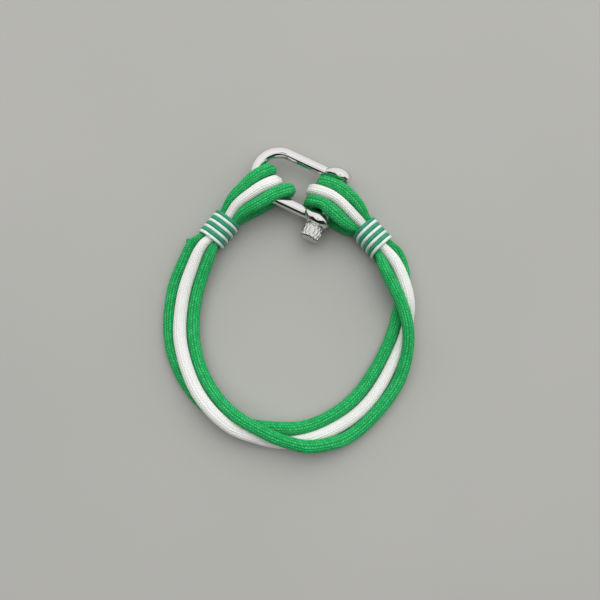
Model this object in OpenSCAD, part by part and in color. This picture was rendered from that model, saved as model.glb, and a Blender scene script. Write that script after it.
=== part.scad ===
// Cord bracelet of three braided cords, lying flat on a table as a closed loop.
// Each cord is one long strand. At both ends of the band it folds back on itself,
// round the bow of a D-shaped shackle at the left and round its screw pin at the right.
// A lashing of two thin cords binds the folded strands in front of each fold.
// X points right, Y points to the clasp and Z points up. The table is at z = 0.

/* [Cords] */
// Diameter of a braided cord where nothing squeezes it
cord_d = 3.7; // [3.5:0.1:3.7]
// Space between a cord and the bar that it folds round
fold_gap = 0.15; // [0.12:0.01:0.2]

/* [Lashings] */
// Thickness of the thin cord that a lashing is wound from
wrap_d = 0.82; // [0.7:0.02:0.82]
// Width of that cord, pressed flatter as it is pulled tight
wrap_w = 1; // [0.8:0.02:1]
// Distance from one turn to the next, the two colours taken in turn
wrap_pitch = 1.06; // [1.06:0.01:1.1]
// Turns of each colour
turns_each = 4; // [2:1:4]
// Width of a lashing over its outside
lashing_w = 8.6; // [8.6:0.1:9.4]
// Height of a lashing over its outside
lashing_h = 9.5; // [9.5:0.1:10]

/* [Shackle] */
// Diameter of the shackle's bar
bar_d = 3.6; // [3:0.1:3.6]
// Distance between the middles of the two legs
leg_spacing = 14; // [13.7:0.1:15]
// Distance from the pin's axis to the centre of the bow
leg_length = 16.7; // [16.5:0.1:18]
// Diameter of an eye, across the pin
eye_d = 7.4; // [6.4:0.1:7.6]
// Thickness of an eye, along the pin
eye_t = 4.2; // [3.6:0.1:4.2]
// Turn of the shackle on the table, anticlockwise
shackle_turn = -26; // [-28:1:-24]

/* [Screw pin] */
// Diameter of the pin's shaft
pin_d = 3.4; // [3:0.1:3.4]
// Running clearance all round the pin in its eyes
pin_gap = 0.06; // [0.03:0.01:0.1]
// Diameter of the knurled head
head_d = 6; // [5.4:0.1:6.4]
// Length of the knurled head
head_l = 4; // [3:0.1:4.4]
// Diameter of the thin collar between the head and the eye
collar_d = 5.2; // [4.4:0.1:5.6]

/* [Hidden] */

GREEN = [0.08, 0.68, 0.30];
WHITE = [0.93, 0.93, 0.90];
TEAL = [0.10, 0.55, 0.40];
STEEL = [0.82, 0.83, 0.84];

// Height of the bar and of the pin: the lower strand of each fold lies on the table
bar_z = cord_d + fold_gap + bar_d / 2;
// Where the pin's axis crosses the shackle's long middle line, x and y
pin_at = [12.1, 29.9];
// The eyes' inner faces stand this far back from the legs' inner sides
face_step = 0.2;
eye_face = leg_spacing / 2 - bar_d / 2 + face_step;
// The legs end this far before the pin's axis, inside the eyes
leg_end = 1;
collar_l = 0.3;
face_gap = 0.1;
smooth = 64;

// Sides of a braided cord's tube, and of a thin lashing cord's
cord_sides = 8;
wrap_sides = 6;
// Steps in one turn of a lashing
turn_steps = 22;
// The last turn stops this many steps short, below the strands
LAST_STEPS = 3;
// How far the step to the next turn is drawn to the underside: 0 steps evenly all round,
// and 1 hardly at all on top
STEP_BELOW = 0.6;
// 2 would make a lashing's section an ellipse, and more makes it squarer
lashing_square = 2.6;

// A lashing's middle in x and y, and the direction of the band there, away from the shackle
left_lashing = [-20.6, 20.3, -129];
right_lashing = [24.9, 17.9, -49];
// Half of the distance between the two places where a cord is fully squeezed
lashing_half = 4.3;

// Places of the three cords in a lashing: distance to the outside of the loop,
// distance above or below the middle, then width and height as parts of cord_d
OUTER_LANE = [2.19, 1.52, 0.48, 0.74];
MIDDLE_LANE = [0.00, 1.92, 0.68, 0.95];
INNER_LANE = [-2.21, 1.54, 0.48, 0.74];

// Where each cord crosses the bow, or the pin, then its heading there, the reach of its
// fold past the bar's middle, how far its upper strand lies to the right of the lower one,
// seen along the heading, and its width and height as parts of cord_d
OUTER_LEFT_FOLD = [-9.5, 36.1, 31, 4.55, 0.6, 1.00, 0.90];
WHITE_LEFT_FOLD = [-8.0, 32.5, 28, 4.7, 0.6, 0.92, 0.95];
INNER_LEFT_FOLD = [-4.2, 30.4, 24, 4.8, 0.6, 1.02, 0.80];
OUTER_RIGHT_FOLD = [13.5, 32.9, 156, 3.8, 0, 0.92, 0.90];
WHITE_RIGHT_FOLD = [12.0, 29.8, 156, 5.2, 0, 0.84, 1.00];
INNER_RIGHT_FOLD = [10.6, 26.8, 155, 4.5, 0, 0.88, 0.95];
FOLD_STEP = 30;

// Cord routes: x, y, z of the middle, then width and height as parts of cord_d.
// From a lashing to the fold the upper strand takes a fan's points, and the lower
// strand passes below them.
OUTER_LEFT_FAN = [
    [-17.0, 28.9, 7.8, 0.66, 0.95],
    [-12.9, 32.7, 9.1, 0.90, 1.00]
];
WHITE_LEFT_FAN = [
    [-15.3, 26.9, 8.1, 0.74, 1.00],
    [-11.4, 29.8, 9.3, 0.84, 1.00]
];
INNER_LEFT_FAN = [
    [-13.3, 24.8, 8.0, 0.80, 0.95],
    [-8.5, 27.4, 9.2, 0.98, 0.95]
];
OUTER_RIGHT_FAN = [
    [21.2, 26.3, 8.0, 0.80, 0.95],
    [17.2, 30.4, 9.3, 1.00, 0.95]
];
WHITE_RIGHT_FAN = [
    [19.1, 23.8, 8.3, 0.78, 1.00],
    [15.5, 27.3, 9.6, 0.76, 1.00]
];
INNER_RIGHT_FAN = [
    [17.1, 21.3, 8.0, 0.90, 0.95],
    [13.4, 24.3, 9.4, 1.12, 0.95],
    [11.6, 25.8, 9.6, 1.06, 0.95]
];

// From the left lashing round the band to the right lashing
OUTER_BAND = [
    [-28.1, 16.4, 5.0, 0.70, 0.95],
    [-30.8, 11.4, 3.4, 0.98, 1.00],
    [-33.2, 6.0, 2.1, 1.00, 1.00],
    [-34.6, -0.3, 1.85, 1.00, 1.00],
    [-35.0, -7.9, 1.85, 1.00, 1.00],
    [-34.0, -15.3, 1.85, 1.00, 1.00],
    [-31.0, -22.6, 1.85, 1.00, 1.00],
    [-26.0, -29.5, 1.85, 1.00, 1.00],
    [-19.6, -34.3, 1.85, 1.00, 1.00],
    [-10.9, -37.1, 1.85, 1.00, 1.00],
    [-3.5, -37.9, 1.85, 1.00, 1.00],
    [4.0, -37.7, 1.85, 1.00, 1.00],
    [11.3, -35.0, 1.85, 0.98, 1.00],
    [17.9, -30.5, 1.85, 0.98, 1.00],
    [23.2, -24.3, 1.85, 0.96, 1.00],
    [27.0, -18.1, 1.85, 0.94, 1.00],
    [30.1, -11.5, 1.85, 0.92, 1.00],
    [32.3, -4.2, 1.85, 0.90, 1.00],
    [33.9, 2.6, 1.85, 0.94, 1.00],
    [34.1, 8.5, 2.2, 1.00, 1.00],
    [32.1, 13.9, 3.7, 0.78, 1.00]
];
WHITE_BAND = [
    [-24.6, 15.7, 7.0, 0.74, 1.00],
    [-27.7, 9.9, 6.5, 0.88, 1.00],
    [-30.0, 3.4, 5.7, 0.95, 1.00],
    [-31.3, -3.9, 5.1, 0.98, 1.00],
    [-31.4, -12.0, 5.0, 1.00, 1.00],
    [-29.6, -19.7, 5.3, 1.00, 1.00],
    [-26.0, -27.8, 5.6, 1.00, 1.00],
    [-20.4, -34.7, 5.9, 0.96, 1.00],
    [-14.2, -39.0, 4.8, 0.94, 0.98],
    [-9.6, -40.5, 4.1, 0.94, 1.00],
    [-4.0, -41.8, 2.1, 0.96, 1.00],
    [4.3, -41.5, 1.85, 1.00, 1.00],
    [12.7, -38.4, 1.85, 0.98, 1.00],
    [20.2, -33.5, 1.85, 0.96, 1.00],
    [26.0, -26.9, 1.85, 0.94, 1.00],
    [30.3, -19.4, 2.0, 0.90, 1.00],
    [33.5, -12.4, 2.3, 0.88, 1.00],
    [35.2, -6.1, 3.2, 0.84, 1.00],
    [35.2, -1.2, 5.2, 0.86, 1.00],
    [33.5, 5.2, 6.3, 0.92, 1.00],
    [30.5, 11.3, 6.7, 0.88, 1.00]
];
INNER_BAND = [
    [-22.4, 13.8, 6.3, 0.78, 1.00],
    [-25.0, 7.6, 4.7, 0.96, 1.00],
    [-27.1, 0.1, 3.9, 0.97, 1.00],
    [-27.8, -8.5, 3.7, 0.98, 1.00],
    [-26.7, -16.6, 3.6, 0.96, 1.00],
    [-23.6, -24.4, 4.0, 0.96, 1.00],
    [-18.6, -31.2, 4.8, 0.92, 1.00],
    [-12.5, -36.2, 6.8, 0.93, 1.00],
    [-8.2, -38.6, 7.1, 0.94, 1.00],
    [-4.1, -40.6, 6.5, 0.94, 1.00],
    [0.2, -42.1, 5.8, 0.96, 1.00],
    [4.4, -43.1, 5.7, 1.00, 1.00],
    [8.0, -43.1, 4.8, 1.00, 1.00],
    [12.0, -42.4, 4.0, 1.00, 1.00],
    [16.0, -41.1, 2.7, 1.00, 1.00],
    [22.1, -36.8, 2.3, 1.00, 1.00],
    [27.8, -30.7, 2.3, 1.00, 1.00],
    [31.9, -24.6, 2.9, 0.98, 1.00],
    [34.0, -18.4, 4.5, 0.94, 1.00],
    [34.7, -11.8, 6.4, 0.90, 1.00],
    [33.7, -5.3, 7.5, 0.92, 1.00],
    [31.0, 1.8, 7.6, 0.95, 1.00],
    [27.8, 8.9, 7.1, 0.90, 1.00]
];

// Cut ends, past the lashings on the band's side
OUTER_LEFT_END = [
    [-26.4, 17.5, 3.0, 0.50, 0.76],
    [-29.4, 17.1, 2.2, 0.75, 0.75],
    [-30.7, 17.0, 2.1, 0.60, 0.60]
];
INNER_RIGHT_END = [
    [26.7, 12.4, 2.6, 0.48, 0.76],
    [26.5, 10.9, 2.2, 0.60, 0.80]
];
// Length of the other cut ends past their lashing
end_l = 1.2;

function unit(v) = v / norm(v);
function flip(rows) = [for (i = [len(rows) - 1:-1:0]) rows[i]];

// A point in a lashing, from its middle: along the band and to the outside of the loop.
// The outside is on the right hand at the left lashing and on the left hand at the other.
function lashing_point(lashing, hand, along, across, z) = [
    lashing[0] + along * cos(lashing[2]) - hand * across * sin(lashing[2]),
    lashing[1] + along * sin(lashing[2]) + hand * across * cos(lashing[2]),
    z
];
LEFT_HAND = -1;
RIGHT_HAND = 1;

// A row of a cord's route inside a lashing, in the upper layer or the lower one
function lane_row(lashing, hand, along, lane, layer) = concat(
    lashing_point(lashing, hand, along, lane[0], lashing_h / 2 + layer * lane[1]),
    [lane[2], lane[3]]
);

// The half turn of a cord round the bar, from below to above
function right_of(heading) = [sin(heading), -cos(heading)];
function fold_rows(fold) = [for (a = [-90:FOLD_STEP:90]) [
    fold[0] + fold[3] * cos(a) * cos(fold[2]) + fold[4] / 2 * sin(a) * right_of(fold[2])[0],
    fold[1] + fold[3] * cos(a) * sin(fold[2]) + fold[4] / 2 * sin(a) * right_of(fold[2])[1],
    bar_z + (bar_d / 2 + fold_gap + fold[6] * cord_d / 2) * sin(a),
    fold[5],
    fold[6]
]];

// The lower strand's rows: below the fan's points, and beside them by what the fold leans
LOWER_RISE = 0.2;
function lowered(fan, fold) = [for (i = [0:len(fan) - 1]) let (part = (i + 1) / len(fan)) [
    fan[i][0] - fold[4] * part * right_of(fold[2])[0],
    fan[i][1] - fold[4] * part * right_of(fold[2])[1],
    fan[i][4] * cord_d / 2 + max(0, bar_z + cord_d - fan[i][2]) * LOWER_RISE,
    fan[i][3],
    fan[i][4]
]];

// One cord from its left cut end to its right one
function cord_route(left_end, left_fan, left_fold, band, right_fold, right_fan, right_end, lane) = concat(
    flip(left_end),
    [for (s = [1, -1]) lane_row(left_lashing, LEFT_HAND, s * lashing_half, lane, -1)],
    lowered(left_fan, left_fold),
    fold_rows(left_fold),
    flip(left_fan),
    [for (s = [-1, 1]) lane_row(left_lashing, LEFT_HAND, s * lashing_half, lane, 1)],
    band,
    [for (s = [1, -1]) lane_row(right_lashing, RIGHT_HAND, s * lashing_half, lane, 1)],
    right_fan,
    flip(fold_rows(right_fold)),
    flip(lowered(right_fan, right_fold)),
    [for (s = [-1, 1]) lane_row(right_lashing, RIGHT_HAND, s * lashing_half, lane, -1)],
    right_end
);
function plain_end(lashing, hand, lane) = [lane_row(lashing, hand, lashing_half + end_l, lane, -1)];

// Directions of a route at its points, and a level direction across it at each of them.
// A point where the route is as good as upright keeps the one before.
UPRIGHT = 0.2;
function tangents(p) = [for (i = [0:len(p) - 1]) unit(
    (i == 0 ? [0, 0, 0] : unit(p[i] - p[i - 1])) + (i == len(p) - 1 ? [0, 0, 0] : unit(p[i + 1] - p[i]))
)];
function level_sides(t, last, i = 0) = i == len(t) ? [] :
    let (
        flat = cross([0, 0, 1], t[i]),
        level = norm(flat) < UPRIGHT ? last : unit(flat),
        side = level * last < 0 ? -level : level
    )
    concat([side], level_sides(t, side, i + 1));

// A closed tube along a route, whose rows hold x, y, z and the section's width and height.
// The section is a polygon with the area of the ellipse that it stands for.
module tube(rows, sides) {
    p = [for (r = rows) [r[0], r[1], r[2]]];
    t = tangents(p);
    across = level_sides(t, unit(cross([0, 0, 1], t[0])));
    corner = sqrt(2 * PI / (sides * sin(360 / sides)));
    last = len(rows) - 1;
    points = [for (i = [0:last]) for (k = [0:sides - 1]) let (
        a = 360 * (k + 0.5) / sides,
        up = cross(t[i], across[i])
    ) p[i] + corner / 2 * (across[i] * rows[i][3] * cos(a) + up * rows[i][4] * sin(a))];
    walls = [for (i = [0:last - 1]) for (k = [0:sides - 1]) let (
        n = (k + 1) % sides,
        a = i * sides,
        b = a + sides
    ) each [[a + k, b + k, b + n], [a + k, b + n, a + n]]];
    start = [for (k = [0:sides - 1]) k];
    end = [for (k = [sides - 1:-1:0]) last * sides + k];
    polyhedron(points, concat([start], walls, [end]), convexity = 8);
}

module cord(route) {
    tube([for (r = route) [r[0], r[1], r[2], r[3] * cord_d, r[4] * cord_d]], cord_sides);
}

// One colour of a lashing: a helix of turns round the strands, both lashings wound the
// same way. start is how many turns' places it lies behind the first turn.
function power(c) = sign(c) * pow(abs(c), 2 / lashing_square);
module lashing_turns(lashing, hand, start) {
    half_w = (lashing_w - wrap_d) / 2;
    half_h = (lashing_h - wrap_d) / 2;
    length = (2 * turns_each - 1) * wrap_pitch;
    steps = turns_each * turn_steps;
    rows = [for (i = [0:steps - LAST_STEPS]) let (
        u = (i + 0.5) / turn_steps,
        a = 360 * u - 90,
        step = u + STEP_BELOW * sin(360 * u) / (2 * PI),
        along = wrap_pitch * (start + 2 * step - 1) - length / 2,
        across = hand * half_w * power(cos(a)),
        z = lashing_h / 2 + half_h * power(sin(a))
    ) concat(lashing_point(lashing, hand, along, across, z), [wrap_w, wrap_d])];
    tube(rows, wrap_sides);
}

module outer_green_cord() {
    color(GREEN) cord(cord_route(
        OUTER_LEFT_END, OUTER_LEFT_FAN, OUTER_LEFT_FOLD, OUTER_BAND,
        OUTER_RIGHT_FOLD, OUTER_RIGHT_FAN, plain_end(right_lashing, RIGHT_HAND, OUTER_LANE), OUTER_LANE
    ));
}

module white_cord() {
    color(WHITE) cord(cord_route(
        plain_end(left_lashing, LEFT_HAND, MIDDLE_LANE), WHITE_LEFT_FAN, WHITE_LEFT_FOLD, WHITE_BAND,
        WHITE_RIGHT_FOLD, WHITE_RIGHT_FAN, plain_end(right_lashing, RIGHT_HAND, MIDDLE_LANE), MIDDLE_LANE
    ));
}

module inner_green_cord() {
    color(GREEN) cord(cord_route(
        plain_end(left_lashing, LEFT_HAND, INNER_LANE), INNER_LEFT_FAN, INNER_LEFT_FOLD, INNER_BAND,
        INNER_RIGHT_FOLD, INNER_RIGHT_FAN, INNER_RIGHT_END, INNER_LANE
    ));
}

module left_lashing_green() {
    color(TEAL) lashing_turns(left_lashing, LEFT_HAND, 0);
}

module left_lashing_white() {
    color(WHITE) lashing_turns(left_lashing, LEFT_HAND, 1);
}

module right_lashing_green() {
    color(TEAL) lashing_turns(right_lashing, RIGHT_HAND, 0);
}

module right_lashing_white() {
    color(WHITE) lashing_turns(right_lashing, RIGHT_HAND, 1);
}

// Puts a child made about the pin in its place. X runs from the bow to the pin,
// and -Y along the pin to its head.
module at_pin() {
    translate([pin_at[0], pin_at[1], bar_z]) rotate([0, 0, shackle_turn]) children();
}

// A bulb with round edges and a flat inner face, its axis along Y from y = 0
module eye() {
    edge = eye_t / 2;
    translate([0, edge, 0]) rotate([90, 0, 0]) rotate_extrude($fn = smooth) {
        translate([0, -edge]) square([eye_d / 2 - edge, eye_t]);
        intersection() {
            translate([eye_d / 2 - edge, 0]) circle(r = edge, $fn = smooth);
            translate([0, -edge]) square([eye_d, eye_t]);
        }
    }
}

module shackle() {
    color(STEEL) at_pin() difference() {
        union() {
            translate([-leg_length, 0, 0]) rotate([0, 0, 90])
                rotate_extrude(angle = 180, $fn = smooth) translate([leg_spacing / 2, 0])
                circle(d = bar_d, $fn = smooth);
            for (s = [-1, 1]) translate([-leg_length, s * leg_spacing / 2, 0]) rotate([0, 90, 0])
                cylinder(d = bar_d, h = leg_length - leg_end, $fn = smooth);
            translate([0, eye_face, 0]) eye();
            mirror([0, 1, 0]) translate([0, eye_face, 0]) eye();
        }
        rotate([90, 0, 0])
            cylinder(d = pin_d + 2 * pin_gap, h = 3 * leg_spacing, center = true, $fn = smooth);
    }
}

module screw_pin() {
    tip = eye_face + eye_t - face_gap;
    collar_y = -(eye_face + eye_t + face_gap);
    color(STEEL) at_pin() {
        translate([0, tip, 0]) rotate([90, 0, 0])
            cylinder(d = pin_d, h = tip - collar_y + collar_l, $fn = smooth);
        translate([0, collar_y, 0]) rotate([90, 0, 0]) cylinder(d = collar_d, h = collar_l, $fn = smooth);
        translate([0, collar_y - collar_l, 0]) rotate([90, 0, 0])
            cylinder(d = head_d, h = head_l, $fn = smooth);
    }
}

outer_green_cord();
white_cord();
inner_green_cord();
left_lashing_green();
left_lashing_white();
right_lashing_green();
right_lashing_white();
shackle();
screw_pin();
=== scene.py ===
# %% [markdown]
# A cord bracelet with a shackle clasp
#
# The real bracelet is made of three braided cords, two green and one white, that lie side
# by side round the wrist. At both ends of the band each cord folds back on itself, round the
# bow of a small steel shackle at the left and round the shackle's screw pin at the right.
# In front of each fold a lashing of two thin cords binds the strands together.
#
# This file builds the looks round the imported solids, piece by piece. Every length is in
# metres, X points right, Y to the clasp and Z up, and the table's surface is at height 0.

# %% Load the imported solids
import math

import bpy
import numpy as np
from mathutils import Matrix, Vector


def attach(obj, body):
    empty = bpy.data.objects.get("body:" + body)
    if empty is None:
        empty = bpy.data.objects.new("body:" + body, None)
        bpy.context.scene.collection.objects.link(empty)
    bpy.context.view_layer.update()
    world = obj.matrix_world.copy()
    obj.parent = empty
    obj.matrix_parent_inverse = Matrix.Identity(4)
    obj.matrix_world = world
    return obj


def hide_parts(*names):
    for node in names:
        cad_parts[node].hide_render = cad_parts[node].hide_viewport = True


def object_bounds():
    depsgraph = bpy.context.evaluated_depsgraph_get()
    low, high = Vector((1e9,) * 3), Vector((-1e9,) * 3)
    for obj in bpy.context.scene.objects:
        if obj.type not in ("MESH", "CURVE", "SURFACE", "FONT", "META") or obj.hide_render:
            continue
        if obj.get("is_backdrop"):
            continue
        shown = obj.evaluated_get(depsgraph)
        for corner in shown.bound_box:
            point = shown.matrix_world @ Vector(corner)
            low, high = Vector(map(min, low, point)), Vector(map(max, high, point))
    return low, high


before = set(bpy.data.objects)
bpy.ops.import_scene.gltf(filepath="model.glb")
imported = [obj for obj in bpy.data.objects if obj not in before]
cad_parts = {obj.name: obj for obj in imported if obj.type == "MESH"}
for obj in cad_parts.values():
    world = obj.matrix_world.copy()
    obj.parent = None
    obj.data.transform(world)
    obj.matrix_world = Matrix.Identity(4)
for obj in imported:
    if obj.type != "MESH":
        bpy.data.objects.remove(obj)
cad_low, cad_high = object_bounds()
scene = bpy.context.scene
scene.view_settings.view_transform = "Standard"
print("solids:", ", ".join(sorted(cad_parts)))
print("box in mm:", [round(v * 1000, 2) for v in (*cad_low, *cad_high)])

# %% [markdown]
# The camera
#
# The picture is taken from almost straight above, a little from the wrist's side, so the
# lower edges of the cords and of the steel show. The camera stands 25 cm away. Its angle and
# distance were found by laying the solids' outlines over the picture.

# %% Set the camera
CAMERA_PLACE = (0.0034, -0.0471, 0.2493)
CAMERA_TILT = 10.7
CAMERA_LENS = 51.0

lens = bpy.data.cameras.new("camera")
lens.lens = CAMERA_LENS
lens.sensor_width = 36.0
lens.clip_start = 0.01
camera = bpy.data.objects.new("camera", lens)
camera.location = CAMERA_PLACE
camera.rotation_euler = (math.radians(CAMERA_TILT), 0, 0)
scene.collection.objects.link(camera)
scene.camera = camera
print("camera looks down at", 90 - CAMERA_TILT, "degrees above the table")

# %% [markdown]
# The cords' routes
#
# A cord is one long strand, so it has one route, from its left cut end to its right one: in
# under the left lashing, back over the shackle's bow, out of the lashing on top, round the
# band, and the same again at the pin. The points are the ones that the solids were swept
# along. Each row holds x, y and z of the cord's middle, then its width and height as parts of
# its diameter, because a lashing squeezes the strands and a fold flattens them.

# %% Sizes that the cords and the lashings share
CORD = 0.0037
BAR = 0.0036
FOLD_GAP = 0.00015
BAR_HEIGHT = CORD + FOLD_GAP + BAR / 2
LASHING_WIDTH = 0.0086
LASHING_HEIGHT = 0.0095
# x and y of a lashing's middle, and its heading in degrees.
LEFT_LASHING = (-0.0206, 0.0203, -129)
RIGHT_LASHING = (0.0249, 0.0179, -49)
# The side of that heading which faces out of the loop.
LEFT_HAND, RIGHT_HAND = -1, 1
# The strands are squeezed this far each way from the lashing's middle.
SQUEEZED_HALF = 0.0043
CUT_END = 0.0012
# A fan's lower strand rises by this share of what the upper one sinks.
LOWER_RISE = 0.2
FOLD_STEP = 30
print("height of the bar's middle in mm:", round(BAR_HEIGHT * 1000, 2))

# %% Lanes in a lashing, and the folds round the bow and the pin
# A lane is the distance to the outside of the loop, the distance above or below the
# lashing's middle, and the strand's width and height as parts of its diameter.
OUTER_LANE = (0.00219, 0.00152, 0.48, 0.74)
MIDDLE_LANE = (0, 0.00192, 0.68, 0.95)
INNER_LANE = (-0.00221, 0.00154, 0.48, 0.74)

# A fold is the place where the cord crosses the bar, its heading there, its reach past the
# bar's middle, its lean to the right, and its width and height as parts of its diameter.
OUTER_LEFT_FOLD = (-0.0095, 0.0361, 31, 0.00455, 0.0006, 1.00, 0.90)
WHITE_LEFT_FOLD = (-0.0080, 0.0325, 28, 0.0047, 0.0006, 0.92, 0.95)
INNER_LEFT_FOLD = (-0.0042, 0.0304, 24, 0.0048, 0.0006, 1.02, 0.80)
OUTER_RIGHT_FOLD = (0.0135, 0.0329, 156, 0.0038, 0, 0.92, 0.90)
WHITE_RIGHT_FOLD = (0.0120, 0.0298, 156, 0.0052, 0, 0.84, 1.00)
INNER_RIGHT_FOLD = (0.0106, 0.0268, 155, 0.0045, 0, 0.88, 0.95)
for name, lane in (("outer", OUTER_LANE), ("middle", MIDDLE_LANE), ("inner", INNER_LANE)):
    print(name, "lane's distance in mm:", round(lane[0] * 1000, 2))

# %% Fans: the upper strand from each lashing to its fold
OUTER_LEFT_FAN = [
    (-0.0170, 0.0289, 0.0078, 0.66, 0.95),
    (-0.0129, 0.0327, 0.0091, 0.90, 1.00),
]
WHITE_LEFT_FAN = [
    (-0.0153, 0.0269, 0.0081, 0.74, 1.00),
    (-0.0114, 0.0298, 0.0093, 0.84, 1.00),
]
INNER_LEFT_FAN = [
    (-0.0133, 0.0248, 0.0080, 0.80, 0.95),
    (-0.0085, 0.0274, 0.0092, 0.98, 0.95),
]
OUTER_RIGHT_FAN = [
    (0.0212, 0.0263, 0.0080, 0.80, 0.95),
    (0.0172, 0.0304, 0.0093, 1.00, 0.95),
]
WHITE_RIGHT_FAN = [
    (0.0191, 0.0238, 0.0083, 0.78, 1.00),
    (0.0155, 0.0273, 0.0096, 0.76, 1.00),
]
INNER_RIGHT_FAN = [
    (0.0171, 0.0213, 0.0080, 0.90, 0.95),
    (0.0134, 0.0243, 0.0094, 1.12, 0.95),
    (0.0116, 0.0258, 0.0096, 1.06, 0.95),
]
print("points in the right fans:", len(OUTER_RIGHT_FAN), len(WHITE_RIGHT_FAN), len(INNER_RIGHT_FAN))

# %% The outer cord's band, from the left lashing round to the right one
OUTER_BAND = [
    (-0.0281, 0.0164, 0.0050, 0.70, 0.95),
    (-0.0308, 0.0114, 0.0034, 0.98, 1.00),
    (-0.0332, 0.0060, 0.0021, 1.00, 1.00),
    (-0.0346, -0.0003, 0.00185, 1.00, 1.00),
    (-0.0350, -0.0079, 0.00185, 1.00, 1.00),
    (-0.0340, -0.0153, 0.00185, 1.00, 1.00),
    (-0.0310, -0.0226, 0.00185, 1.00, 1.00),
    (-0.0260, -0.0295, 0.00185, 1.00, 1.00),
    (-0.0196, -0.0343, 0.00185, 1.00, 1.00),
    (-0.0109, -0.0371, 0.00185, 1.00, 1.00),
    (-0.0035, -0.0379, 0.00185, 1.00, 1.00),
    (0.0040, -0.0377, 0.00185, 1.00, 1.00),
    (0.0113, -0.0350, 0.00185, 0.98, 1.00),
    (0.0179, -0.0305, 0.00185, 0.98, 1.00),
    (0.0232, -0.0243, 0.00185, 0.96, 1.00),
    (0.0270, -0.0181, 0.00185, 0.94, 1.00),
    (0.0301, -0.0115, 0.00185, 0.92, 1.00),
    (0.0323, -0.0042, 0.00185, 0.90, 1.00),
    (0.0339, 0.0026, 0.00185, 0.94, 1.00),
    (0.0341, 0.0085, 0.0022, 1.00, 1.00),
    (0.0321, 0.0139, 0.0037, 0.78, 1.00),
]
print("points in the outer cord's band:", len(OUTER_BAND))

# %% The white cord's band
WHITE_BAND = [
    (-0.0246, 0.0157, 0.0070, 0.74, 1.00),
    (-0.0277, 0.0099, 0.0065, 0.88, 1.00),
    (-0.0300, 0.0034, 0.0057, 0.95, 1.00),
    (-0.0313, -0.0039, 0.0051, 0.98, 1.00),
    (-0.0314, -0.0120, 0.0050, 1.00, 1.00),
    (-0.0296, -0.0197, 0.0053, 1.00, 1.00),
    (-0.0260, -0.0278, 0.0056, 1.00, 1.00),
    (-0.0204, -0.0347, 0.0059, 0.96, 1.00),
    (-0.0142, -0.0390, 0.0048, 0.94, 0.98),
    (-0.0096, -0.0405, 0.0041, 0.94, 1.00),
    (-0.0040, -0.0418, 0.0021, 0.96, 1.00),
    (0.0043, -0.0415, 0.00185, 1.00, 1.00),
    (0.0127, -0.0384, 0.00185, 0.98, 1.00),
    (0.0202, -0.0335, 0.00185, 0.96, 1.00),
    (0.0260, -0.0269, 0.00185, 0.94, 1.00),
    (0.0303, -0.0194, 0.0020, 0.90, 1.00),
    (0.0335, -0.0124, 0.0023, 0.88, 1.00),
    (0.0352, -0.0061, 0.0032, 0.84, 1.00),
    (0.0352, -0.0012, 0.0052, 0.86, 1.00),
    (0.0335, 0.0052, 0.0063, 0.92, 1.00),
    (0.0305, 0.0113, 0.0067, 0.88, 1.00),
]
print("points in the white cord's band:", len(WHITE_BAND))

# %% The inner cord's band
INNER_BAND = [
    (-0.0224, 0.0138, 0.0063, 0.78, 1.00),
    (-0.0250, 0.0076, 0.0047, 0.96, 1.00),
    (-0.0271, 0.0001, 0.0039, 0.97, 1.00),
    (-0.0278, -0.0085, 0.0037, 0.98, 1.00),
    (-0.0267, -0.0166, 0.0036, 0.96, 1.00),
    (-0.0236, -0.0244, 0.0040, 0.96, 1.00),
    (-0.0186, -0.0312, 0.0048, 0.92, 1.00),
    (-0.0125, -0.0362, 0.0068, 0.93, 1.00),
    (-0.0082, -0.0386, 0.0071, 0.94, 1.00),
    (-0.0041, -0.0406, 0.0065, 0.94, 1.00),
    (0.0002, -0.0421, 0.0058, 0.96, 1.00),
    (0.0044, -0.0431, 0.0057, 1.00, 1.00),
    (0.0080, -0.0431, 0.0048, 1.00, 1.00),
    (0.0120, -0.0424, 0.0040, 1.00, 1.00),
    (0.0160, -0.0411, 0.0027, 1.00, 1.00),
    (0.0221, -0.0368, 0.0023, 1.00, 1.00),
    (0.0278, -0.0307, 0.0023, 1.00, 1.00),
    (0.0319, -0.0246, 0.0029, 0.98, 1.00),
    (0.0340, -0.0184, 0.0045, 0.94, 1.00),
    (0.0347, -0.0118, 0.0064, 0.90, 1.00),
    (0.0337, -0.0053, 0.0075, 0.92, 1.00),
    (0.0310, 0.0018, 0.0076, 0.95, 1.00),
    (0.0278, 0.0089, 0.0071, 0.90, 1.00),
]
print("points in the inner cord's band:", len(INNER_BAND))

# %% Cut ends that show past a lashing
OUTER_LEFT_END = [
    (-0.0264, 0.0175, 0.0030, 0.50, 0.76),
    (-0.0294, 0.0171, 0.0022, 0.75, 0.75),
    (-0.0307, 0.0170, 0.0021, 0.60, 0.60),
]
INNER_RIGHT_END = [
    (0.0267, 0.0124, 0.0026, 0.48, 0.76),
    (0.0265, 0.0109, 0.0022, 0.60, 0.80),
]
tip = [round(v * 1000, 1) for v in OUTER_LEFT_END[-1][:3]]
print("the cut end beside the left lashing, mm:", tip)

# %% [markdown]
# From tables to one route
#
# Three rules join the tables. A lane runs straight through its lashing. A fold is half a
# circle round the bar, from below to above. The lower strand of a fan lies under the upper
# one, on the table. With these rules the tables stay short, and each point can be checked
# against the picture.

# %% Rules for lanes, folds and lower strands
def lane_row(lashing, hand, along, lane, layer):
    """A row in a lane, in the lashing's upper layer (1) or its lower one (-1)."""
    x, y, heading = lashing
    c, s = math.cos(math.radians(heading)), math.sin(math.radians(heading))
    across = hand * lane[0]
    height = LASHING_HEIGHT / 2 + layer * lane[1]
    return (x + along * c - across * s, y + along * s + across * c, height, lane[2], lane[3])


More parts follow.
